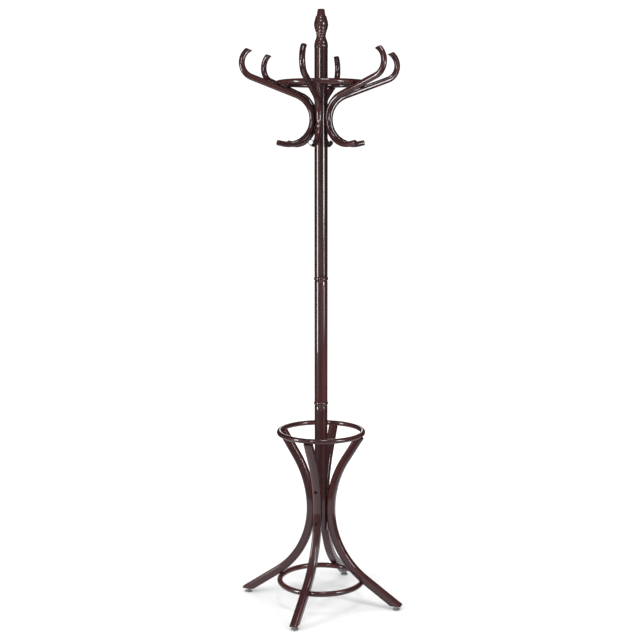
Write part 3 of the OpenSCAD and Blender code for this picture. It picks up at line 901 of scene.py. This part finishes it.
def glide_profile(pad_r):
    """The pad, the neck and its shoulder, from the floor up to the foot of the stem."""
    low_edge, high_edge = 1.2 * MM, 1.6 * MM
    profile = [(pad_r - 3 * MM, 0)] + arc(pad_r - low_edge, low_edge, low_edge, -90, 0, 6)
    profile += arc(pad_r - high_edge, GLIDE_PAD_H - high_edge, high_edge, 0, 80, 8)
    profile += [(GLIDE_NECK_R + 1.2 * MM, GLIDE_PAD_H + 0.5 * MM),
                (GLIDE_NECK_R + 0.3 * MM, GLIDE_PAD_H + 1.1 * MM), (GLIDE_NECK_R, GLIDE_PAD_H + 2 * MM)]
    profile += [(GLIDE_NECK_R, GLIDE_H - 0.6 * MM), (GLIDE_NECK_R - 0.5 * MM, GLIDE_H - 0.1 * MM),
                (STEM_R, GLIDE_H - 0.1 * MM)]
    return profile


def cut_thread(glide, first_row, sides):
    """Draws the stem's rows in to a helical thread, which starts gently above the shoulder."""
    for v in glide.data.vertices:
        row = v.index // sides
        if row < first_row:
            continue
        turn = math.atan2(v.co.y, v.co.x) / (2 * math.pi)
        phase = (v.co.z / THREAD_PITCH + turn) % 1.0
        dip = abs(phase - 0.5) * 2 * THREAD_DEPTH * min(1.0, (row - first_row) / 4)
        inwards = (STEM_R - dip) / math.hypot(v.co.x, v.co.y)
        v.co.x *= inwards
        v.co.y *= inwards


def make_glide(i):
    """A turned glide foot with a rounded pad and a threaded stem."""
    low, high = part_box(f"glide_{i}")
    centre = (low + high) / 2
    profile = glide_profile((high.x - low.x) / 2)
    first_thread = len(profile)
    stem_l = high.z - GLIDE_H
    rows, sides = 56, 64
    profile += [(STEM_R, GLIDE_H + stem_l * j / rows) for j in range(1, rows + 1)]
    glide = lathe(f"glide_foot_{i}", profile, sides)
    cut_thread(glide, first_thread, sides)
    glide.data.transform(Matrix.Translation((centre.x, centre.y, low.z)))
    place_piece(glide, f"glide_{i}", "glide_metal", glide_metal, f"glide_{i}")


for i in range(1, LEG_COUNT + 1):
    make_glide(i)

# ---- Carried-over CAD nodes: screws, bolts, studs and inserts ----

for name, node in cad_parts.items():
    if node.hide_render:
        continue
    kind = steel
    if name == "leg_bolts":
        kind = black_steel
    elif "insert" in name:
        kind = brass
    node.data.materials.clear()
    node.data.materials.append(kind)

# ---- Floor, light and camera ----

# The part of the floor that shows in the lacquer, and its colour there
MIRRORED_FLOOR_R = 1.15
MIRRORED_FLOOR = (0.43, 0.42, 0.44)
# Within the first radius the floor is a little greyer, so that shadows show; past the second it is white
SHADED_FLOOR_R = 0.45
WHITE_FLOOR_R = 1.7
FLOOR_EDGE_R = 9.0


def floor_sheet(name, inner, outer, sides=96, rows=6):
    """A flat ring of floor, or a whole round sheet where inner is 0."""
    points = [(0, 0, 0)] if inner == 0 else []
    faces = []
    first_row = 1 if inner == 0 else 0
    for i in range(first_row, rows + 1):
        r = spread(inner, outer, i / rows)
        points += [(r * math.cos(a), r * math.sin(a), 0)
                   for a in (2 * math.pi * j / sides for j in range(sides))]
    start = 1 if inner == 0 else 0
    if inner == 0:
        faces += [(0, 1 + j, 1 + (j + 1) % sides) for j in range(sides)]
    for i in range(rows - first_row):
        for j in range(sides):
            k = (j + 1) % sides
            low_row, high_row = start + i * sides, start + (i + 1) * sides
            faces.append((low_row + j, high_row + j, high_row + k, low_row + k))
    sheet = mesh_piece(name, points, faces)
    if sheet.data.polygons[0].normal.z < 0:
        sheet.data.flip_normals()
    return sheet


def make_floor():
    """A pale floor. Only the near part shows in the lacquer, and it shows darker there."""
    material, tree, shader = new_material("pale_floor")
    place = add(tree, "TexCoord").outputs["Object"]
    cloud = add(tree, "TexNoise", {"Vector": place, "Scale": 1.5, "Detail": 2.0}).outputs["Fac"]
    far_pale = ramp(tree, cloud, (0.3, (0.93, 0.93, 0.93)), (0.7, (0.95, 0.95, 0.95)))
    near_pale = ramp(tree, cloud, (0.3, (0.66, 0.66, 0.665)), (0.7, (0.675, 0.675, 0.68)))
    distance = add(tree, "VectorMath", {0: place}, operation="LENGTH").outputs["Value"]
    far = remap(tree, distance, SHADED_FLOOR_R, WHITE_FLOOR_R, 0, 1)
    pale = mixed(tree, far, near_pale, far_pale)
    ray = add(tree, "LightPath").outputs["Is Glossy Ray"]
    tree.links.new(mixed(tree, ray, pale, MIRRORED_FLOOR), shader.inputs["Base Color"])
    shader.inputs["Roughness"].default_value = 0.9
    shader.inputs["Specular IOR Level"].default_value = 0.0
    near_sheet = floor_sheet("floor_near", 0, MIRRORED_FLOOR_R)
    far_sheet = floor_sheet("floor_far", MIRRORED_FLOOR_R, FLOOR_EDGE_R)
    far_sheet.visible_glossy = False
    for sheet in (near_sheet, far_sheet):
        sheet.data.materials.append(material)


def make_world():
    """A white room for the camera and for soft light, and a dark one for the lacquer to mirror."""
    world = bpy.data.worlds.new("studio")
    bpy.context.scene.world = world
    world.use_nodes = True
    tree = world.node_tree
    tree.nodes.clear()
    ray = add(tree, "LightPath")
    soft = add(tree, "Background", {"Color": (1, 1, 1, 1), "Strength": 1.15})
    mirrored = add(tree, "Background", {"Color": (0.9, 0.93, 1.0, 1), "Strength": 0.035})
    seen = add(tree, "Background", {"Color": (1, 1, 1, 1), "Strength": 1.1})
    glossy = add(tree, "MixShader", {0: ray.outputs["Is Glossy Ray"], 1: soft.outputs[0],
                                     2: mirrored.outputs[0]})
    camera = add(tree, "MixShader", {0: ray.outputs["Is Camera Ray"], 1: glossy.outputs[0],
                                     2: seen.outputs[0]})
    add(tree, "OutputWorld", {"Surface": camera.outputs[0]})


def softbox(name, place, turn, width, height, radiance):
    light = bpy.data.lights.new(name, "AREA")
    light.shape = "RECTANGLE"
    light.size, light.size_y = width, height
    light.energy = radiance * math.pi * width * height
    lamp = bpy.data.objects.new(name, light)
    lamp.location = place
    lamp.rotation_euler = turn.to_euler()
    bpy.context.scene.collection.objects.link(lamp)


def facing(way):
    """The turn that makes a light shine this way."""
    return Vector(way).to_track_quat("-Z", "Y").to_matrix()


def standing_softbox(name, bearing, distance, low, high, width, radiance, lean):
    """A softbox that faces the pole, its bearing in degrees to the right of the camera's.

    It leans by some degrees, with its top towards the camera.
    """
    a = math.radians(bearing)
    place = (distance * math.sin(a), -distance * math.cos(a), (low + high) / 2)
    turn = facing((-place[0], -place[1], 0)) @ Matrix.Rotation(math.radians(lean), 3, "Z")
    softbox(name, place, turn, width, high - low, radiance)


def hanging_softbox(name, place, target, width, length, radiance):
    """A softbox at a place, turned to face a target."""
    softbox(name, place, facing(Vector(target) - Vector(place)), width, length, radiance)


# Name, bearing, distance, low edge, high edge, width, radiance, lean
STANDING_SOFTBOXES = (
    ("left_softbox", -65, 2.2, 0.45, 1.62, 0.46, 22, 0),
    ("right_softbox", 48, 2.2, 1.05, 1.74, 0.42, 26, 26),
    ("right_low_softbox", 55, 2.2, 0.55, 1.03, 0.42, 9, 20),
    ("top_softbox", -25, 3.0, 1.80, 2.8, 0.30, 28, 0),
    ("studio_wall", 4, 4.9, 0.0, 1.2, 4.2, 0.3, 0),
    ("back_softbox", 180, 2.4, 0.3, 2.2, 0.5, 1.7, 0),
)
CAMERA_PLACE = (-0.0033, -3.6706, 1.4388)
CAMERA_PITCH = math.radians(81.947)
CAMERA_LENS = 66.43


def make_camera():
    camera = bpy.data.cameras.new("camera")
    camera.lens = CAMERA_LENS
    camera.sensor_width = 36.0
    eye = bpy.data.objects.new("camera", camera)
    eye.location = CAMERA_PLACE
    eye.rotation_euler = (CAMERA_PITCH, 0, 0)
    bpy.context.scene.collection.objects.link(eye)
    bpy.context.scene.camera = eye


make_floor()
make_world()
for settings in STANDING_SOFTBOXES:
    standing_softbox(*settings)
hanging_softbox("overhead_softbox", (0.25, -0.95, 3.45), (0.1, 0, 1.65), 0.5, 0.9, 13)
make_camera()

scene = bpy.context.scene
scene.view_settings.view_transform = "Standard"
scene.view_settings.look = "None"
scene.view_settings.exposure = 0.0
scene.view_settings.gamma = 1.0
